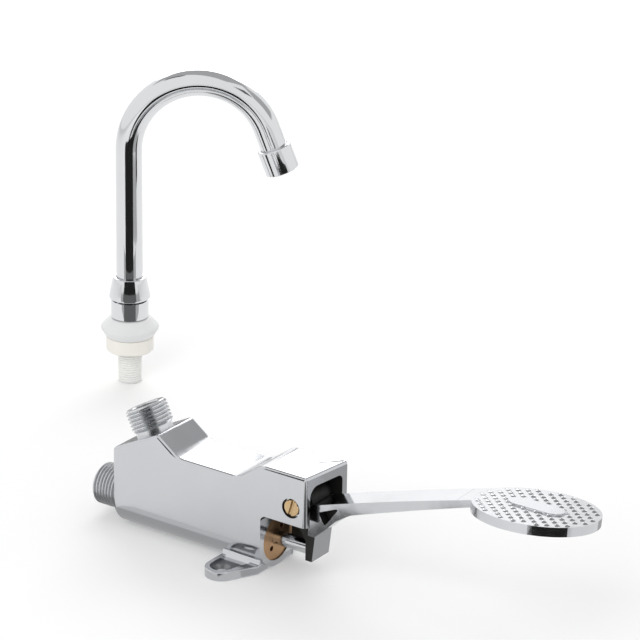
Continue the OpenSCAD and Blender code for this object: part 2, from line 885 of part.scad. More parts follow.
module aerator_housing() {
  color([0.85, 0.86, 0.88])
    at_spout()
      at_neck_end()
        translate([0, 0, neck_end - aerator_len])
          difference() {
            rotate_extrude()
              polygon([[0, 0], [aerator_d / 2 - 0.7, 0], [aerator_d / 2, 0.7],
                       [aerator_d / 2, aerator_len - 0.5], [aerator_d / 2 - 0.5, aerator_len],
                       [0, aerator_len]]);
            translate([0, 0, -1])
              cylinder(r = tube_r + end_swell + run_gap, h = aerator_len);
            translate([0, 0, -1])
              cylinder(d = aerator_mouth_d, h = aerator_len + 2);
          }
}

module aerator_washer() {
  color([0.14, 0.14, 0.15])
    at_spout()
      at_neck_end()
        translate([0, 0, tube_end + 0.1])
          difference() {
            cylinder(r = tube_r - run_gap, h = aerator_len - aerator_grip - insert_len - 1.3);
            translate([0, 0, -1])
              cylinder(r = tube_bore_r - 0.3, h = aerator_len);
          }
}

module aerator_insert() {
  color([0.92, 0.92, 0.9])
    at_spout()
      at_neck_end()
        translate([0, 0, neck_end - 1.1 - insert_len])
          difference() {
            cylinder(r = tube_r - run_gap, h = insert_len);
            for (r = [0, 2.3, 4.2], k = [0 : max(0, round(r * 2.86) - 1)])
              rotate([0, 0, k * 360 / max(1, round(r * 2.86))])
                translate([r, 0, -1])
                  cylinder(d = 1.2, h = insert_len + 2);
          }
}

module swivel_nut() {
  color([0.84, 0.85, 0.87])
    at_spout()
      difference() {
        translate([0, 0, z_nut + 0.4])
          rotate_extrude()
            polygon([[0, 0], [nut_foot_d / 2 - 0.6, 0], [nut_foot_d / 2, 0.6],
                     [nut_foot_d / 2, 1.6], [nut_top_d / 2, nut_h - 1],
                     [nut_top_d / 2 - 0.6, nut_h - 0.4], [0, nut_h - 0.4]]);
        translate([0, 0, z_nut - 1])
          cylinder(r = socket_r + run_gap, h = lip_z - z_nut + 1.2);
        translate([0, 0, z_nut])
          cylinder(r = tube_r + 0.2, h = nut_h + 2);
      }
}

module thrust_bush() {
  color([0.93, 0.92, 0.88])
    at_spout()
      translate([0, 0, z_tube + 0.2])
        difference() {
          cylinder(r = bush_r, h = lip_z - z_tube - 0.1);
          translate([0, 0, -1])
            cylinder(r = tube_r + run_gap, h = lip_z);
        }
}

module spout_collar() {
  color([0.82, 0.83, 0.85])
    at_spout()
      difference() {
        union() {
          translate([0, 0, z_collar])
            rotate_extrude()
              polygon([[0, 0], [collar_d / 2 - 0.5, 0], [collar_d / 2, 0.5],
                       [collar_d / 2, collar_h - 0.5], [collar_d / 2 - 0.5, collar_h],
                       [0, collar_h]]);
          translate([0, 0, z_nut - 0.5])
            cylinder(r = socket_r, h = lip_z - z_nut + 0.3);
          translate([0, 0, z_collar - spigot2_len])
            cylinder(r = spigot2_r, h = spigot2_len + 1);
        }
        translate([0, 0, plug_top])
          cylinder(r = bush_r + run_gap, h = 2 * nut_h);
        translate([0, 0, plug_top - 5.9])
          cylinder(r = plug_r + run_gap, h = 7);
        translate([0, 0, z_collar - spigot2_len - 1])
          cylinder(r = shank_bore_r - 0.2, h = spigot2_len + collar_h);
      }
}

module deck_flange() {
  color([0.95, 0.95, 0.95, 0.8])
    at_spout()
      translate([0, 0, z_flange])
        difference() {
          rotate_extrude()
            polygon([[0, 0], [flange_d / 2 - 2.6, 0], [flange_d / 2 - 0.5, flange_h * 0.3],
                     [flange_d / 2, flange_h * 0.42], [flange_d / 2 - 0.5, flange_h * 0.54],
                     [collar_d / 2 + 1.8, flange_h * 0.86], [collar_d / 2 + 0.3, flange_h],
                     [0, flange_h]]);
          translate([0, 0, -1])
            cylinder(r = neck_r + run_gap, h = flange_h + 2);
        }
}

module deck_washer() {
  color([0.93, 0.9, 0.82])
    at_spout()
      translate([0, 0, z_washer])
        difference() {
          rotate_extrude()
            polygon([[0, 0], [washer_d / 2 - 0.6, 0], [washer_d / 2, 0.6],
                     [washer_d / 2, washer_h - 0.6], [washer_d / 2 - 0.6, washer_h],
                     [0, washer_h]]);
          translate([0, 0, -1])
            cylinder(r = neck_r + run_gap, h = washer_h + 2);
        }
}

module spout_shank() {
  n = floor((shank_len - 1) / shank_p);
  top = washer_h + flange_h - 0.2;
  color([0.94, 0.94, 0.93])
    at_spout()
      translate([0, 0, z_washer])
        difference() {
          rotate_extrude()
            polygon(concat(
              [[0, -shank_len], [shank_r - shank_thread_h, -shank_len]],
              ridges(shank_r, shank_p, shank_thread_h, -shank_len + 0.3, n),
              [[neck_r, -0.1], [neck_r, top], [0, top]]));
          translate([0, 0, -shank_len - 1])
            cylinder(r = shank_bore_r, h = shank_len + washer_h + flange_h + 2);
          translate([0, 0, washer_h + flange_h - spigot2_len - side_gap])
            cylinder(r = spigot2_r + run_gap, h = flange_h);
        }
}

valve_body();
inlet_nipple();
outlet_nipple();
valve_seat();
gland_nut();
gland_gasket();
gland_rings();
pivot_pin();
pivot_spacers();
push_rod();
spindle();
disc_holder();
valve_disc();
disc_nut();
return_spring();
pedal_lever();
wear_button();
spout_tube();
tube_tail();
tail_rings();
aerator_housing();
aerator_insert();
aerator_washer();
swivel_nut();
thrust_bush();
spout_collar();
deck_flange();
deck_washer();
spout_shank();
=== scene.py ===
"""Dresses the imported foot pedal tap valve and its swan-neck spout, and sets the photograph's view."""

import math

import bpy
from mathutils import Matrix, Vector


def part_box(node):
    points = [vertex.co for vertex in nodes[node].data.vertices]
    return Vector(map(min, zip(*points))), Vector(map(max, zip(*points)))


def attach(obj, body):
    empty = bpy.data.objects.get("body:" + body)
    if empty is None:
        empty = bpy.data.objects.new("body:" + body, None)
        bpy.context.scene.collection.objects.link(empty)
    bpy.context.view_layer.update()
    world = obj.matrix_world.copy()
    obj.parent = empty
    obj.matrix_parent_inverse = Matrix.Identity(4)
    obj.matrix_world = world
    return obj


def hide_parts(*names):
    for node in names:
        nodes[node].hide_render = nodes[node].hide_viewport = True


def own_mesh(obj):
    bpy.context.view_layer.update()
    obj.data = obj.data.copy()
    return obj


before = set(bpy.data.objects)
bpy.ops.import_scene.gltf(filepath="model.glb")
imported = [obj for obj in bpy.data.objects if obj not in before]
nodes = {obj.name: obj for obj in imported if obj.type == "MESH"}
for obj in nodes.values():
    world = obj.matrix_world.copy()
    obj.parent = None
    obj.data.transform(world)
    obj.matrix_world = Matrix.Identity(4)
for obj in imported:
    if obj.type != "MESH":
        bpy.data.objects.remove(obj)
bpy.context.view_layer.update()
MM = 0.001
# Height of the barrel's axis, and the pivot's place along X and Z, in millimetres
AXIS_Z = 14.8
PIVOT = (33, 40)


# Handwork: small steps that every piece goes through

def only(piece=None):
    """Leaves editing, with just this piece selected."""
    if bpy.context.mode != "OBJECT":
        bpy.ops.object.mode_set(mode="OBJECT")
    bpy.ops.object.select_all(action="DESELECT")
    if piece:
        bpy.context.view_layer.objects.active = piece
        piece.select_set(True)


def added(name):
    """Names the primitive that was just added."""
    piece = bpy.context.object
    piece.name = piece.data.name = name
    return piece


def place(piece, spot=(0, 0, 0), turn=Matrix.Identity(3)):
    """Turns and moves a piece, and puts its place into its mesh. The spot is in millimetres."""
    only(piece)
    piece.matrix_world = Matrix.Translation(Vector(spot) * MM) @ turn.to_4x4()
    bpy.ops.object.transform_apply(location=True, rotation=True, scale=True)
    return piece


def pick_edges(piece, wanted):
    """Opens a piece for editing with its wanted edges selected.

    The test gets an edge's two ends in millimetres and the normals of the faces beside it.
    """
    only(piece)
    bpy.ops.object.mode_set(mode="EDIT")
    bpy.ops.mesh.select_mode(type="EDGE")
    bpy.ops.mesh.select_all(action="DESELECT")
    bpy.ops.object.mode_set(mode="OBJECT")
    mesh = piece.data
    sides = {}
    for face in mesh.polygons:
        for key in face.edge_keys:
            sides.setdefault(key, []).append(face.normal.copy())
    for edge in mesh.edges:
        a, b = (mesh.vertices[i].co / MM for i in edge.vertices)
        pair = sides.get(edge.key, [])
        edge.select = len(pair) == 2 and wanted(a, b, pair)
    bpy.ops.object.mode_set(mode="EDIT")


def open_all(piece):
    """Opens a piece for editing with everything selected."""
    only(piece)
    bpy.ops.object.mode_set(mode="EDIT")
    bpy.ops.mesh.select_mode(type="VERT")
    bpy.ops.mesh.select_all(action="SELECT")


def seal(threshold=1e-7):
    """Merges the doubles of the piece that is open for editing, and turns its faces outwards."""
    bpy.ops.mesh.select_all(action="SELECT")
    bpy.ops.mesh.remove_doubles(threshold=threshold)
    bpy.ops.mesh.select_all(action="SELECT")
    bpy.ops.mesh.normals_make_consistent(inside=False)


def trace(name, points):
    """An outline drawn point by point, in millimetres, from a plane merged to its first point."""
    only()
    bpy.ops.mesh.primitive_plane_add(size=MM)
    piece = added(name)
    open_all(piece)
    bpy.ops.mesh.merge(type="CENTER")
    bpy.ops.transform.translate(value=Vector(points[0]) * MM)
    for start, end in zip(points, points[1:]):
        bpy.ops.mesh.extrude_vertices_move(
            TRANSFORM_OT_translate={"value": (Vector(end) - Vector(start)) * MM})
    return piece


def slab(name, points, push):
    """A closed outline, filled and pushed out to a solid."""
    piece = trace(name, points)
    bpy.ops.mesh.select_all(action="SELECT")
    bpy.ops.mesh.edge_face_add()
    bpy.ops.mesh.extrude_region_move(TRANSFORM_OT_translate={"value": Vector(push) * MM})
    bpy.ops.mesh.select_all(action="SELECT")
    bpy.ops.mesh.normals_make_consistent(inside=False)
    only(piece)
    return piece


def lathe(name, outline, steps=72):
    """A closed outline of radius and height, spun about the Z axis."""
    points = [(r, 0, z) for r, z in outline]
    piece = trace(name, points + points[:1])
    bpy.ops.mesh.select_all(action="SELECT")
    bpy.ops.mesh.remove_doubles(threshold=1e-7)
    bpy.ops.mesh.select_all(action="SELECT")
    bpy.ops.mesh.spin(steps=steps, angle=2 * math.pi, center=(0, 0, 0), axis=(0, 0, 1))
    seal()
    only(piece)
    return piece


def drum(name, radius, length, steps=64):
    """A round bar about the Z axis, from its foot at the origin."""
    only()
    bpy.ops.mesh.primitive_cylinder_add(vertices=steps, radius=radius * MM, depth=length * MM)
    return place(added(name), (0, 0, length / 2))


def work(piece, kind, **settings):
    """Adds a modifier with its settings, and applies it."""
    only(piece)
    bpy.ops.object.modifier_add(type=kind)
    step = piece.modifiers[-1]
    for key, value in settings.items():
        setattr(step, key, value)
    bpy.ops.object.modifier_apply(modifier=step.name)


def combine(piece, tool, way):
    """Cuts a tool out of a piece, joins it on, or keeps what they share."""
    work(piece, "BOOLEAN", operation=way, object=tool, solver="EXACT")
    bpy.data.objects.remove(tool)
    return piece


def break_edges(piece, width, segments, wanted, clamp=True):
    """Rounds the wanted edges."""
    pick_edges(piece, wanted)
    bpy.ops.mesh.bevel(offset=width * MM, offset_type="OFFSET", segments=segments, profile=0.5,
                       affect="EDGES", clamp_overlap=clamp)
    only(piece)


def smooth(piece, angle=35):
    """Shades a piece smooth where it curves, and keeps its flats flat."""
    only(piece)
    bpy.ops.object.shade_smooth_by_angle(angle=math.radians(angle))
    work(piece, "WEIGHTED_NORMAL", keep_sharp=True)


def copy_of(node, name):
    """A copy of a CAD node with its loose triangles merged and its flats joined."""
    piece = bpy.data.objects.new(name, nodes[node].data.copy())
    piece.data.name = name
    bpy.context.scene.collection.objects.link(piece)
    open_all(piece)
    bpy.ops.mesh.remove_doubles(threshold=1e-6)
    bpy.ops.mesh.select_all(action="SELECT")
    bpy.ops.mesh.dissolve_limited(angle_limit=math.radians(0.2))
    only(piece)
    return piece


def dress(piece, body, node, material):
    """Puts a finished piece in a CAD node's stead."""
    piece.data.materials.clear()
    piece.data.materials.append(material)
    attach(piece, body)
    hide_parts(node)


# Finishes

def srgb(code):
    """A hex colour as the linear values that the shader takes."""
    parts = [int(code[i:i + 2], 16) / 255 for i in (1, 3, 5)]
    return [p / 12.92 if p <= 0.04045 else ((p + 0.055) / 1.055) ** 2.4 for p in parts] + [1]


def add(tree, kind, settings, links=()):
    """Adds a node with its settings and the links into it."""
    made = tree.nodes.new(kind)
    for key, value in settings.items():
        if key in made.inputs:
            made.inputs[key].default_value = value
        else:
            setattr(made, key, value)
    for key, source in dict(links).items():
        tree.links.new(source, made.inputs[key])
    return made


def finish(name, settings):
    """A material with its shader's plain values, and the nodes to add to."""
    material = bpy.data.materials.new(name)
    material.use_nodes = True
    tree = material.node_tree
    shader = tree.nodes["Principled BSDF"]
    for key, value in settings.items():
        shader.inputs[key].default_value = value
    spot = add(tree, "ShaderNodeTexCoord", {})
    return material, tree, shader, spot.outputs["Object"]


def drift(tree, shader, spot, dark, light, blotch):
    """Lets the colour drift between two shades, in blotches of a size in millimetres."""
    cloud = add(tree, "ShaderNodeTexNoise", {"Scale": 1 / (blotch * MM), "Detail": 3},
                {"Vector": spot})
    tint = add(tree, "ShaderNodeMix", {"data_type": "RGBA"}, {"Factor": cloud.outputs["Fac"]})
    tint.inputs[6].default_value = srgb(dark)
    tint.inputs[7].default_value = srgb(light)
    tree.links.new(tint.outputs[2], shader.inputs["Base Color"])
    return cloud


def mottled(name, settings, dark, light, blotch, rough, ripple, grain):
    """A surface whose colour, gloss and level drift a little, each at its own size in millimetres."""
    material, tree, shader, spot = finish(name, settings)
    drift(tree, shader, spot, dark, light, blotch)
    haze = add(tree, "ShaderNodeTexNoise", {"Scale": 1 / (blotch * 0.4 * MM), "Detail": 4},
               {"Vector": spot})
    gloss = add(tree, "ShaderNodeMapRange",
                {"From Min": 0.3, "From Max": 0.7, "To Min": rough[0], "To Max": rough[1]},
                {"Value": haze.outputs["Fac"]})
    tree.links.new(gloss.outputs["Result"], shader.inputs["Roughness"])
    wave = add(tree, "ShaderNodeTexNoise", {"Scale": 1 / (grain * MM), "Detail": 2},
               {"Vector": spot})
    level = add(tree, "ShaderNodeBump", {"Strength": ripple, "Distance": 0.1 * MM},
                {"Height": wave.outputs["Fac"]})
    tree.links.new(level.outputs["Normal"], shader.inputs["Normal"])
    return material


def turned(name, settings, dark, light, rough, centre, axis, pitch):
    """Lathe-turned metal: fine rings about an axis that runs through the centre, in millimetres."""
    material, tree, shader, spot = finish(name, settings)
    shift = add(tree, "ShaderNodeMapping", {"Location": [-c * MM for c in centre]},
                {"Vector": spot})
    rings = add(tree, "ShaderNodeTexWave",
                {"wave_type": "RINGS", "rings_direction": axis, "Scale": 1 / (20 * pitch * MM),
                 "Distortion": 0.4, "Detail": 2}, {"Vector": shift.outputs["Vector"]})
    cloud = drift(tree, shader, spot, dark, light, 4)
    gloss = add(tree, "ShaderNodeMapRange", {"To Min": rough[0], "To Max": rough[1]},
                {"Value": cloud.outputs["Fac"]})
    tree.links.new(gloss.outputs["Result"], shader.inputs["Roughness"])
    level = add(tree, "ShaderNodeBump", {"Strength": 0.25, "Distance": 0.03 * MM},
                {"Height": rings.outputs["Fac"]})
    tree.links.new(level.outputs["Normal"], shader.inputs["Normal"])
    return material


METAL = {"Metallic": 1.0}
# Chrome on cast brass: bright, with the soft waver of a hand-polished casting
cast_chrome = mottled("chrome_plated_cast_brass", METAL,
                      "#c6c8cb", "#cecfd2", 22, (0.11, 0.17), 0.05, 14)
# Chrome on drawn tube and turned pieces: mirror bright
bright_chrome = mottled("chrome_plated_tube", METAL,
                        "#d6d8da", "#dedfe1", 18, (0.06, 0.09), 0.02, 20)
# Chrome on the pedal: a little duller where shoes rub it
pedal_chrome = mottled("chrome_plated_pedal", METAL,
                       "#c4c6c9", "#d0d1d4", 12, (0.1, 0.17), 0.05, 10)
# Satin chrome on the outlet's thread: plating over cut flanks scatters the light
satin_chrome = mottled("satin_chrome_thread", METAL,
                       "#d2d4d6", "#dadbdd", 5, (0.24, 0.32), 0.1, 1)
# Dull nickel on the inlet's thread: grey, with a satin grain
dull_nickel = mottled("dull_nickel_plated_brass", METAL,
                      "#c2c4c6", "#cecfd1", 6, (0.36, 0.44), 0.12, 1.2)
# Bright steel of the push rod and wear button
bright_steel = mottled("ground_steel", METAL, "#c4c6c8", "#d2d3d5", 5, (0.1, 0.16), 0.05, 0.8)
# Painted shade: a dark, rough casting finish that stands in for the shade inside the hood and in the body's
# and pedal's recesses
painted_shade_casting = mottled("painted_shade_dark_casting", {"Metallic": 0.4},
                      "#1a1a19", "#282725", 6, (0.5, 0.65), 0.3, 1.5)
# Sunk tops of the ears: dull chrome darkened with painted shade
shaded_sunk_chrome = mottled("shaded_sunk_chrome", {"Metallic": 0.9},
                        "#7a7c7e", "#909294", 3, (0.3, 0.45), 0.15, 0.8)
# Bare brass from the lathe: warm, with fine rings, duller where the hand has touched it
gland_brass = turned("turned_gland_brass", METAL,
                     "#ad8762", "#c6a17b", (0.26, 0.38), (0, 0, AXIS_Z), "X", 0.35)
pin_brass = turned("turned_pin_brass", METAL,
                   "#c8a678", "#dcc29a", (0.22, 0.32), (PIVOT[0], 0, PIVOT[1]), "Y", 0.3)
inner_brass = mottled("machined_brass", METAL, "#b08a4e", "#c8a264", 5, (0.25, 0.35), 0.1, 0.8)
# Black nitrile rubber: matt, a touch dusty
rubber = mottled("black_nitrile_rubber", {"Specular IOR Level": 0.4},
                 "#161617", "#202022", 4, (0.6, 0.75), 0.15, 0.6)
# Black nylon of the pivot spacers
black_nylon = mottled("black_nylon", {"IOR": 1.53}, "#101010", "#181818", 4, (0.4, 0.5), 0.08, 0.6)
# Off-white nylon: waxy
nylon = mottled("off_white_nylon", {"IOR": 1.53}, "#e6e3d9", "#eeece4", 6, (0.4, 0.5), 0.08, 0.8)
# Milky polypropylene flange: lets some light through
milky = mottled("milky_polypropylene", {"IOR": 1.49, "Transmission Weight": 0.15},
                "#f4f6f6", "#fbfbfb", 8, (0.3, 0.4), 0.06, 2)
# Cream washer: moulded, matt
cream = mottled("cream_moulded_plastic", {"IOR": 1.5}, "#f3f0e7", "#f8f6ef", 6, (0.45, 0.55), 0.1, 0.8)
# White moulded shank: a little glossy
white = mottled("white_moulded_plastic", {"IOR": 1.5}, "#f3f3f1", "#f9f9f7", 6, (0.3, 0.4), 0.06, 1)
# Spring wire: drawn steel
spring_steel = mottled("drawn_spring_steel", METAL, "#8f9295", "#b0b2b5", 2, (0.25, 0.35), 0.1, 0.5)


# Cast body, in millimetres: the barrel's axis runs along X, and Z is the height over the floor

HALF_W = 14.5
REAR, REAR_H, BARREL_END = -73.0, 42.7, 15.5
# Front of the hood on the near and on the far side
MOUTH, FRONT = 41.3, 44.8
SKEW = (FRONT - MOUTH) / (2 * HALF_W)
WAIST, HOOD, SILL = 47.5, 57.0, 31.5
WAIST_END, HOOD_START = 1.6, 15.17
# Sloping boss that carries the outlet, and its fall to the waist
TILT, FALL = math.radians(27), math.radians(36)
BOSS_LEN, OUTLET_ALONG = 30, 17
BOSS_TOP = (REAR + BOSS_LEN * math.cos(TILT), REAR_H + BOSS_LEN * math.sin(TILT))
WAIST_START = BOSS_TOP[0] + (BOSS_TOP[1] - WAIST) / math.tan(FALL)
EDGE_R = 1.5
# Bores: gland, both nipples' spigots, pivot pin and its sunk head
GLAND_R, SPIGOT_BORE = 11.55, 8.35
PIN_R, PIN_SINK_R = 3.05, 5
# Hollow of the hood, and the wall on the far side of the push rod
HOLLOW_BACK, HOLLOW_HALF, ROOF = 18.0, 11.3, 51.5
FAR_WALL, FAR_WALL_LEN, FAR_WALL_Z = 11.85, 14.5, 5


def rounded(points, radii, steps=8):
    """Corners of a flat outline turned with radii."""
    out = []
    for i, (p, r) in enumerate(zip(points, radii)):
        if not r:
            out.append(Vector(p))
            continue
        p, a, c = Vector(p), Vector(points[i - 1]), Vector(points[(i + 1) % len(points)])
        u, w = (a - p).normalized(), (c - p).normalized()
        half = u.angle(w) / 2
        middle = p + (u + w).normalized() * r / math.sin(half)
        s = p + u * r / math.tan(half) - middle
        e = p + w * r / math.tan(half) - middle
        sweep = s.angle_signed(e)
        out += [middle + Matrix.Rotation(-sweep * k / steps, 2) @ s for k in range(steps + 1)]
    return out


# Seen from the side
side_view = rounded(
    [(REAR, -1), (BARREL_END, -1), (BARREL_END, SILL), (FRONT, SILL), (FRONT, HOOD),
     (HOOD_START, HOOD), (WAIST_END, WAIST), (WAIST_START, WAIST), BOSS_TOP, (REAR, REAR_H)],
    [0, 0, 3, 0, 0, 10, 10, 12, 0, 0])
# Seen from the end: a half round under the axis, straight walls above it
end_view = [(HALF_W, 70), (-HALF_W, 70)] + [
    (HALF_W * math.cos(a), AXIS_Z + HALF_W * math.sin(a))
    for a in (math.pi + math.pi * k / 32 for k in range(33))]

body = slab("cast_body", [(REAR, y, z) for y, z in end_view], (FRONT - REAR, 0, 0))
combine(body, slab("side_view", [(p[0], -20, p[1]) for p in side_view], (0, 40, 0)), "INTERSECT")
# Slanting front of the hood
slant = [(MOUTH - SKEW, -HALF_W - 1), (FRONT + 9, -HALF_W - 1),
         (FRONT + 9, HALF_W + 1), (FRONT + SKEW, HALF_W + 1)]
combine(body, slab("mouth_cut", [(x, y, AXIS_Z) for x, y in slant], (0, 0, HOOD)), "DIFFERENCE")


def cast_edge(a, b, pair):
    """Upper outline of the casting and the edges round its rear end."""
    flat = [abs(n.y) > 0.99 for n in pair]
    if flat[0] != flat[1]:
        other = pair[1] if flat[0] else pair[0]
        return other.z > 0.15 or other.x < -0.98 or 0.98 < other.x < 0.999
    if max(n.x for n in pair) > 0.98 and max(n.z for n in pair) > 0.98:
        return True
    if abs(pair[0].y) < 0.01 and abs(pair[1].y) < 0.01 and abs(a.x - b.x) < 0.01:
        return any(math.dist((a.x, a.z), c) < 0.1 for c in (BOSS_TOP, (REAR, REAR_H)))
    return min(n.x for n in pair) < -0.99 and pair[0].angle(pair[1]) > 1


break_edges(body, EDGE_R, 5, cast_edge, clamp=False)


def along_x(tool, x):
    """Lays a bar along the barrel's axis, with its foot at x."""
    return place(tool, (x, 0, AXIS_Z), Matrix.Rotation(math.pi / 2, 3, "Y"))


outlet_turn = Matrix.Rotation(-TILT, 3, "Y")
outlet_foot = Vector((REAR + OUTLET_ALONG * math.cos(TILT), 0, REAR_H + OUTLET_ALONG * math.sin(TILT)))
pin_turn = Matrix.Rotation(-math.pi / 2, 3, "X")
# The hollow's corner is rounder on the near side
hollow = rounded([(-HOLLOW_HALF, SILL - 2), (HOLLOW_HALF, SILL - 2), (HOLLOW_HALF, ROOF),
                  (-HOLLOW_HALF, ROOF)], [0, 0, 3, 5.5])
for tool in (
        slab("hood_hollow", [(HOLLOW_BACK, p[0], p[1]) for p in hollow],
             (FRONT - HOLLOW_BACK + 1, 0, 0)),
        along_x(drum("gland_bore", GLAND_R, 24), -6),
        along_x(drum("inlet_bore", SPIGOT_BORE, 14), REAR - 4),
        place(drum("outlet_bore", SPIGOT_BORE, 20), outlet_foot + outlet_turn @ Vector((0, 0, -10)),
              outlet_turn),
        place(drum("pin_hole", PIN_R, 40), (PIVOT[0], -20, PIVOT[1]), pin_turn),
        place(drum("pin_sink", PIN_SINK_R, 6), (PIVOT[0], -HALF_W - 4.4, PIVOT[1]), pin_turn)):
    combine(body, tool, "DIFFERENCE")

# Wall on the far side of the push rod
wall_end = BARREL_END + FAR_WALL_LEN
wall = rounded([(BARREL_END - 1, FAR_WALL_Z), (wall_end, FAR_WALL_Z), (wall_end, SILL + 1),
                (BARREL_END - 1, SILL + 1)], [0, 6, 0, 0])
combine(body, slab("far_wall", [(p[0], FAR_WALL, p[1]) for p in wall], (0, HALF_W - FAR_WALL, 0)), "UNION")

# Floor ears: a leaf with a raised rim round its sunk top, and a hollow fillet where it meets the barrel
EAR_Y, EAR_R, EAR_REACH = 24.0, 8.0, 14.2
EAR_T, EAR_FLOOR = 4.6, 3.2
# Radius, reach and inner end of the sunk top
EAR_SINK = (5.6, 8.9, 9)
FILLET_FOOT, FILLET_W, FILLET_H = -16.6, 4.6, 3.9
SCREW_R, SINK_R, SINK_TOP = 2.75, 4.75, 3.35


def leaf(r, reach, inner):
    """Plan of an ear on the near side."""
    foot = Vector((reach, -HALF_W))
    aim = foot - Vector((0, -EAR_Y))
    last = math.atan2(aim.y, aim.x) - math.acos(r / aim.length)
    turn = (math.pi + (math.pi + last) * k / 24 for k in range(25))
    tip = [(r * math.cos(a), -EAR_Y + r * math.sin(a)) for a in turn]
    return [(-r, -inner)] + tip + [tuple(foot), (reach, -inner)]


def plate(name, plan, side, low, high):
    """A plan pushed up between two heights, mirrored for the far side."""
    return slab(name, [(x, y * side, low) for x, y in plan], (0, 0, high - low))


fillet = [(FILLET_FOOT, EAR_FLOOR)] + [
    (FILLET_FOOT + FILLET_W * math.sin(a), EAR_FLOOR + FILLET_H * (1 - math.cos(a)))
    for a in (math.pi / 2 * k / 10 for k in range(1, 11))]
# Closed inside the barrel and the ear
fillet += [(-11, EAR_FLOOR + FILLET_H), (-8, EAR_FLOOR - 1), (FILLET_FOOT, EAR_FLOOR - 1)]


def ear_rim(a, b, pair):
    """Upper outer edge of an ear."""
    return min(a.z, b.z) > EAR_T - 0.1 and max(abs(a.y), abs(b.y)) > 13


for side in (1, -1):
    ear = plate("ear", leaf(EAR_R, EAR_REACH, 6), side, 0, EAR_T)
    break_edges(ear, 0.6, 3, ear_rim)
    combine(ear, plate("ear_sink", leaf(*EAR_SINK), side, EAR_FLOOR, EAR_T + 2), "DIFFERENCE")
    sweep = slab("ear_fillet", [(-EAR_R, y * side, z) for y, z in fillet], (EAR_R + EAR_REACH, 0, 0))
    limit = plate("ear_limit", leaf(EAR_R - 0.1, EAR_REACH - 0.1, 6), side, EAR_FLOOR - 2, 14)
    combine(sweep, limit, "INTERSECT")
    combine(ear, sweep, "UNION")
    sunk_hole = lathe("screw_hole", [(0, -2), (SCREW_R, -2), (SCREW_R, SINK_TOP - (SINK_R - SCREW_R)),
                                     (SINK_R, SINK_TOP), (SINK_R, 8), (0, 8)])
    combine(ear, place(sunk_hole, (0, -EAR_Y * side, 0)), "DIFFERENCE")
    combine(body, ear, "UNION")
smooth(body)
dress(body, "valve", "valve_body", cast_chrome)
# Painted shade inside the hood, on the wall by the rod and round the sunk pin, and on the ears' sunk tops
PAINTED_SHADE, SUNK_SHADE = 1, 2
body.data.materials.append(painted_shade_casting)
body.data.materials.append(shaded_sunk_chrome)
for face in body.data.polygons:
    x, y, z = face.center / MM
    front = MOUTH + SKEW * (y + HALF_W)
    in_hollow = (HOLLOW_BACK - 0.1 < x < front - 0.1 and abs(y) < HOLLOW_HALF + 0.1
                 and SILL - 1 < z < ROOF + 0.1)
    on_wall = BARREL_END < x < MOUTH and FAR_WALL - 0.65 < y < FAR_WALL + 0.15 and z < SILL + 1
    in_pin_sink = y < -12.5 and abs(face.normal.y) < 0.5 and math.dist((x, z), PIVOT) < PIN_SINK_R + 0.1
    if in_hollow or on_wall or in_pin_sink:
        face.material_index = PAINTED_SHADE
    # Painted shade on the ears' sunk tops
    if abs(y) > 15 and z < EAR_FLOOR + 0.1 and face.normal.z > 0.5:
        face.material_index = SUNK_SHADE


# Threads: a true helix, cut off square and chamfered

# Radius of the open core of a blank, which the bore takes away later
CORE = 0.2


def thread(name, low, high, crest, depth, pitch, steps=56):
    """A solid threaded bar about the Z axis."""
    turns = math.ceil((high - low) / pitch) + 2
    start = low - pitch
    shape = [(crest - depth, 0), (crest, 0.3), (crest, 0.6), (crest - depth, 0.9), (crest - depth, 1)]
    piece = trace(name, [(r, 0, start + pitch * t) for r, t in shape])
    work(piece, "SCREW", axis="Z", angle=2 * math.pi, screw_offset=pitch * MM, iterations=turns,
         steps=steps, render_steps=steps, use_merge_vertices=True, merge_threshold=1e-7)
    open_all(piece)
    bpy.ops.mesh.remove_doubles(threshold=1e-7)
    for height, up in ((low, -1), (high, 1)):
        bpy.ops.mesh.select_all(action="SELECT")
        bpy.ops.mesh.bisect(plane_co=(0, 0, height * MM), plane_no=(0, 0, up), use_fill=True,
                            clear_outer=True, threshold=1e-8)
    bpy.ops.mesh.select_all(action="SELECT")
    bpy.ops.mesh.normals_make_consistent(inside=False)
    only(piece)
    blank = lathe(name + "_blank", [(CORE, low - 1), (crest - depth, low - 1), (crest - depth, low),
                                    (crest + 0.02, low + depth), (crest + 0.02, high - depth),
                                    (crest - depth, high), (CORE, high)])
    return combine(piece, blank, "INTERSECT")


# Pipe threads of half an inch and a quarter: crest radius, depth and pitch
HALF_INCH = (10.4775, 1.162, 1.814)
QUARTER_INCH = (6.5785, 0.85, 1.337)
# Nipples: the spigot in the casting, and where the thread starts
SPIGOT_R, SPIGOT_END, THREAD_START = 8.3, -10, 2.4


def nipple(name, length, bore, deep):
    """A half-inch threaded nipple with its foot at the origin and a spigot under it."""
    root = HALF_INCH[0] - HALF_INCH[1]
    piece = thread(name, THREAD_START, length, *HALF_INCH)
    spigot = lathe(name + "_neck", [(CORE, SPIGOT_END), (SPIGOT_R, SPIGOT_END), (SPIGOT_R, 0),
                                    (root, 0), (root, 3), (CORE, 3)])
    combine(piece, spigot, "UNION")
    hole = lathe(name + "_hole", [(0, deep), (bore, deep), (bore, length - 0.6), (bore + 0.8, length + 0.2),
                                  (bore + 0.8, length + 2), (0, length + 2)])
    return combine(piece, hole, "DIFFERENCE")


inlet_turn = Matrix.Rotation(-math.pi / 2, 3, "Y")
inlet = place(nipple("inlet_pipe_end", 16.7, 7, -7), (REAR, 0, AXIS_Z), inlet_turn)
smooth(inlet)
dress(inlet, "valve", "inlet_nipple", dull_nickel)
outlet = place(nipple("outlet_pipe_end", 14, 6.5, -9), outlet_foot, outlet_turn)
smooth(outlet)
dress(outlet, "valve", "outlet_nipple", satin_chrome)


# Swan neck and its fittings

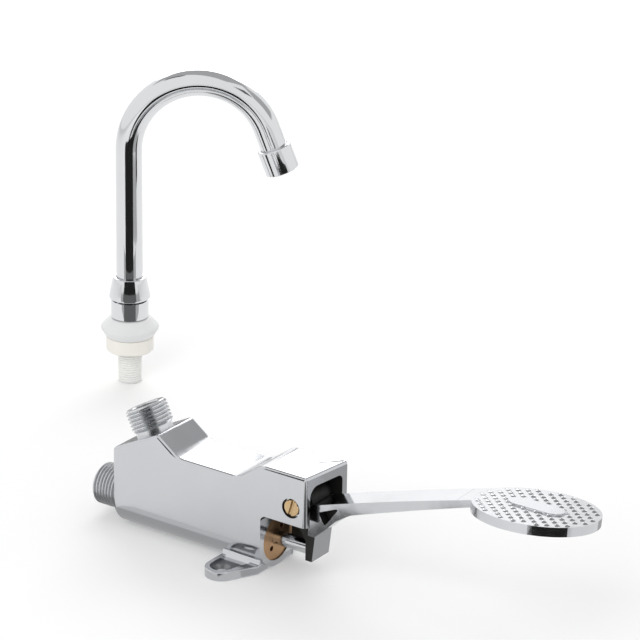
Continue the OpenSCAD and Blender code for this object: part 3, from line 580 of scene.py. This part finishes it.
# Where the spout stands, and the way that its arch faces
SPOUT = (-182, 138, 0)
spout_turn = Matrix.Rotation(math.radians(34.5), 3, "Z")
TUBE_R, TUBE_WALL, TUBE_FOOT = 7.15, 1.2, 47.5
BEND_Z, BEND_R = 132.2, 37.5
# Slope of the straight end, as sine and cosine, and its length
LEAN, DROP, END_LEN = 0.352, 0.936, 16.5
only()
bpy.ops.mesh.primitive_circle_add(vertices=64, radius=TUBE_R * MM)
neck = place(added("swan_neck"), (0, 0, TUBE_FOOT))
open_all(neck)
bpy.ops.mesh.extrude_region_move(TRANSFORM_OT_translate={"value": (0, 0, (BEND_Z - TUBE_FOOT) * MM)})
bpy.ops.mesh.spin(steps=72, angle=math.pi - math.atan2(LEAN, DROP),
                  center=(BEND_R * MM, 0, BEND_Z * MM), axis=(0, -1, 0))
bpy.ops.mesh.extrude_region_move(
    TRANSFORM_OT_translate={"value": (LEAN * END_LEN * MM, 0, -DROP * END_LEN * MM)})
seal()
work(neck, "SOLIDIFY", thickness=TUBE_WALL * MM, offset=-1)
smooth(place(neck, SPOUT, spout_turn))
dress(neck, "spout", "spout_tube", bright_chrome)

THREAD_TOP, SHANK_TOP, SHANK_R, SHANK_BORE, SOCKET_R = 17.6, 37.3, 6.37, 4, 5.45
shank_root = QUARTER_INCH[0] - QUARTER_INCH[1]
shank = thread("threaded_shank", 0, THREAD_TOP, *QUARTER_INCH)
combine(shank, lathe("shank_plain", [(CORE, 17), (shank_root, 17), (shank_root, 18.3), (SHANK_R, 18.5),
                                     (SHANK_R, SHANK_TOP), (CORE, SHANK_TOP)]), "UNION")
combine(shank, lathe("shank_hole", [(0, -1), (4.6, -1), (4.6, -0.1), (SHANK_BORE, 0.6), (SHANK_BORE, 28.2),
                                    (SOCKET_R, 28.2), (SOCKET_R, 38), (0, 38)]), "DIFFERENCE")
smooth(place(shank, SPOUT))
dress(shank, "valve", "spout_shank", white)


# Turned pieces: copies of the CAD with their sharp edges broken

def pin_rim(a, b, pair):
    """Rim of the pivot pin's head."""
    return min(n.y for n in pair) < -0.95 and all(math.dist((p.x, p.z), PIVOT) > 4 for p in (a, b))


def sharp(a, b, pair):
    """Any edge that turns by more than about 57 degrees."""
    return pair[0].angle(pair[1]) > 1


turned_copies = (
    ("swivel_nut", "conical_swivel_nut", "valve", "chrome", bright_chrome),
    ("spout_collar", "spout_base_collar", "valve", "chrome", bright_chrome),
    ("deck_flange", "milky_deck_flange", "valve", "clear_plastic", milky),
    ("deck_washer", "cream_deck_washer", "valve", "cream_plastic", cream),
    ("aerator_housing", "aerator_cap", "spout", "chrome", bright_chrome),
    ("aerator_insert", "aerator_strainer", "spout", "white_plastic", white),
    ("gland_nut", "gland_plug", "valve", "brass", gland_brass),
    ("pivot_pin", "slotted_pivot_pin", "valve", "brass", pin_brass),
    ("push_rod", "push_rod_bar", "plunger", "chrome", bright_steel),
    ("wear_button", "heel_wear_button", "pedal", "steel", bright_steel),
)
for node, name, body_name, slot, material in turned_copies:
    piece = copy_of(node, name)
    if node == "pivot_pin":
        break_edges(piece, 0.6, 1, pin_rim)
    break_edges(piece, 0.15, 2, sharp)
    smooth(piece)
    dress(piece, body_name, node, material)


# Pedal

ARM_HALF = 8
pedal = copy_of("pedal_lever", "pedal_casting")


def arm_edge(a, b, pair):
    """Long outer edges of the arm and the head."""
    flat = [abs(n.y) > 0.99 for n in pair]
    on_arm = 40 < min(a.x, b.x) and max(a.x, b.x) < 127
    return flat[0] != flat[1] and on_arm and abs(abs(a.y) - ARM_HALF) < 0.05


break_edges(pedal, 1.0, 3, arm_edge)
smooth(pedal, 30)
dress(pedal, "pedal", "pedal_lever", pedal_chrome)
# Painted shade on the hub and heel inside the hood, and in the pockets at the arm's root
pedal.data.materials.append(painted_shade_casting)
for face in pedal.data.polygons:
    x, y, z = face.center / MM
    in_hood = x < 41.5 and z > 37
    in_pocket = 43.5 < x < 58 and 2.9 < abs(y) < 7.4 and 31 < z < 50
    if in_hood or in_pocket:
        face.material_index = PAINTED_SHADE


# Return spring: one round wire in eight turns

spring_low, spring_high = (Vector(c).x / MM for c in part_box("return_spring"))
WIRE_R, COIL_R, TURNS, COIL_STEPS = 0.55, 5.3, 8, 28
# The CAD's wire has six sides, so it reaches a little less far along the coil than a round one
wire_reach = 0.866 * WIRE_R
coil_start, coil_end = spring_low + wire_reach, spring_high - wire_reach
only()
bpy.ops.mesh.primitive_circle_add(vertices=14, radius=WIRE_R * MM, fill_type="NGON")
coil = place(added("return_spring_coil"), (COIL_R, 0, 0), Matrix.Rotation(math.pi / 2, 3, "X"))
work(coil, "SCREW", axis="Z", angle=2 * math.pi * TURNS, screw_offset=(coil_end - coil_start) * MM,
     steps=COIL_STEPS * TURNS, render_steps=COIL_STEPS * TURNS)
open_all(coil)
seal(1e-8)
place(coil, (coil_start, 0, AXIS_Z), Matrix(((0, 0, 1), (1, 0, 0), (0, 1, 0))))
smooth(coil)
dress(coil, "valve", "return_spring", spring_steel)
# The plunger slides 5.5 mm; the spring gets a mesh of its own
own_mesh(coil)


# Inner pieces keep their CAD shapes

for node, material in (("valve_seat", inner_brass), ("gland_gasket", rubber), ("gland_rings", rubber),
                       ("pivot_spacers", black_nylon), ("spindle", inner_brass), ("disc_holder", inner_brass),
                       ("valve_disc", rubber), ("disc_nut", inner_brass), ("tube_tail", inner_brass),
                       ("tail_rings", rubber), ("aerator_washer", rubber), ("thrust_bush", nylon)):
    nodes[node].data.materials.clear()
    nodes[node].data.materials.append(material)


# Studio

def card_finish(name, strength):
    """A card that only shines or darkens, for reflections."""
    material = bpy.data.materials.new(name)
    material.use_nodes = True
    tree = material.node_tree
    tree.nodes.remove(tree.nodes["Principled BSDF"])
    glow = add(tree, "ShaderNodeEmission", {"Strength": strength})
    tree.links.new(glow.outputs["Emission"], tree.nodes["Material Output"].inputs["Surface"])
    return material


def shown_rays(tree):
    """One for rays that end in the picture by way of the camera, a mirror or a clear piece."""
    path = add(tree, "ShaderNodeLightPath", {})
    shown = add(tree, "ShaderNodeMath", {"operation": "MAXIMUM"},
                {0: path.outputs["Is Camera Ray"], 1: path.outputs["Is Glossy Ray"]})
    shown = add(tree, "ShaderNodeMath", {"operation": "MAXIMUM"},
                {0: shown.outputs["Value"], 1: path.outputs["Is Transmission Ray"]})
    return shown.outputs["Value"]


# Matt white floor, lifted a little where it is seen
only()
bpy.ops.mesh.primitive_plane_add(size=12)
floor = added("studio_floor")
floor_paint = bpy.data.materials.new("matt_white_floor_paint")
floor_paint.use_nodes = True
tree = floor_paint.node_tree
shader = tree.nodes["Principled BSDF"]
shader.inputs["Base Color"].default_value = srgb("#e6e6e6")
shader.inputs["Roughness"].default_value = 0.9
shader.inputs["Specular IOR Level"].default_value = 0.1
lift = add(tree, "ShaderNodeMapRange", {"To Min": 0.0, "To Max": 0.16}, {"Value": shown_rays(tree)})
tree.links.new(lift.outputs["Result"], shader.inputs["Emission Strength"])
shader.inputs["Emission Color"].default_value = (1, 1, 1, 1)
floor.data.materials.append(floor_paint)


def card(name, size, spot, facing, material):
    """A flat card that only reflections see."""
    only()
    bpy.ops.mesh.primitive_plane_add(size=1)
    piece = added(name)
    piece.scale = (size[0] * MM, size[1] * MM, 1)
    piece.location = Vector(spot) * MM
    piece.rotation_euler = Vector(facing).to_track_quat("Z", "Y").to_euler()
    bpy.ops.object.transform_apply(location=True, rotation=True, scale=True)
    piece.data.materials.append(material)
    piece.visible_camera = piece.visible_diffuse = piece.visible_shadow = False
    piece.visible_transmission = False


# Cards: size, place and facing, each for the reflection that its name tells
black_card = card_finish("black_card", 0.02)
dark_card = card_finish("dark_grey_card", 0.14)
grey_card = card_finish("grey_card", 0.48)
pale_card = card_finish("pale_grey_card", 0.7)
white_card = card_finish("white_card", 1.32)
card("card_by_neck", (55, 78), (-154.5, 103, 88), (-0.619, 0.785, 0), black_card)
card("card_by_collar", (44, 46), (-160, 110, 31), (-0.619, 0.785, 0), dark_card)
card("card_by_aerator", (30, 44), (-81, 159, 104), (-0.756, 0.58, 0.302), black_card)
card("card_by_outlet", (125, 80), (-9.6, -84.8, 86), (-0.62, 0.77, 0), black_card)
card("card_by_pad", (88, 50), (216, -53, 52), (-0.819, 0.574, 0), black_card)
card("card_by_ear", (20, 50), (14, -60, 1), (0, 0, 1), dark_card)
card("card_beside_body", (100, 56), (-30, -10, 0.3), (0, 0, 1), pale_card)
card("card_under_body", (100, 40), (-30, -2, 0.6), (0, 0, 1), grey_card)
card("card_under_inlet", (22, 24), (-93, -12, 0.6), (0, 0, 1), dark_card)
card("card_by_mouth", (100, 100), (97, -68, 1), (0, 0, 1), dark_card)
card("card_behind_lever", (170, 220), (125, 100, 1), (0, 0, 1), grey_card)
card("card_behind_boss", (200, 150), (60, 270, 265), (-0.235, -0.735, -0.636), grey_card)
card("card_over_body", (420, 450), (-550, 150, 1000), (0, 0, -1), dark_card)
card("card_over_pad", (130, 130), (187, 119, 400), (0, 0, -1), dark_card)
card("card_over_spout", (520, 300), (-240, 270, 420), (0, 0, -1), grey_card)
card("card_far_back", (620, 480), (-770, 1158, 250), (0.61, -0.79, 0), white_card)
card("card_behind_outlet", (120, 36), (-150, 100, 36), (0.67, -0.74, 0), grey_card)

# White surroundings, dimmer for diffuse light than for what is seen
world = bpy.data.worlds.new("studio_white")
bpy.context.scene.world = world
world.use_nodes = True
tree = world.node_tree
back = tree.nodes["Background"]
back.inputs["Color"].default_value = (1, 1, 1, 1)
level = add(tree, "ShaderNodeMapRange", {"To Min": 0.72, "To Max": 1.0}, {"Value": shown_rays(tree)})
tree.links.new(level.outputs["Result"], back.inputs["Strength"])


def lamp(name, size, spot, target, power):
    """A soft box aimed at a point, both in millimetres."""
    only()
    bpy.ops.object.light_add(type="AREA", location=Vector(spot) * MM)
    light = bpy.context.object
    light.name = name
    light.data.shape = "RECTANGLE"
    light.data.size, light.data.size_y = size[0] * MM, size[1] * MM
    light.data.energy = power
    aim = Vector(target) - Vector(spot)
    light.rotation_euler = aim.to_track_quat("-Z", "Y").to_euler()
    return light


lamp("soft_box_back", (1400, 900), (-700, 1100, 900), (0, 0, 40), 9)
lamp("soft_box_front", (900, 900), (200, -1100, 1000), (0, 0, 40), 7).visible_glossy = False

# Camera at the photograph's place
camera_data = bpy.data.cameras.new("photo_camera")
camera = bpy.data.objects.new("photo_camera", camera_data)
bpy.context.scene.collection.objects.link(camera)
camera_data.sensor_width = 36
camera_data.lens = 178.65
camera.location = Vector((806.9, -1116.15, 667.75)) * MM
camera_aim = Vector((15.48, 32.28, 115.72)) * MM
level_view = (camera_aim - camera.location).to_track_quat("-Z", "Y").to_matrix()
camera.rotation_euler = (level_view @ Matrix.Rotation(math.radians(1), 3, "Z")).to_euler()
bpy.context.scene.camera = camera
bpy.context.scene.view_settings.view_transform = "Standard"

only()
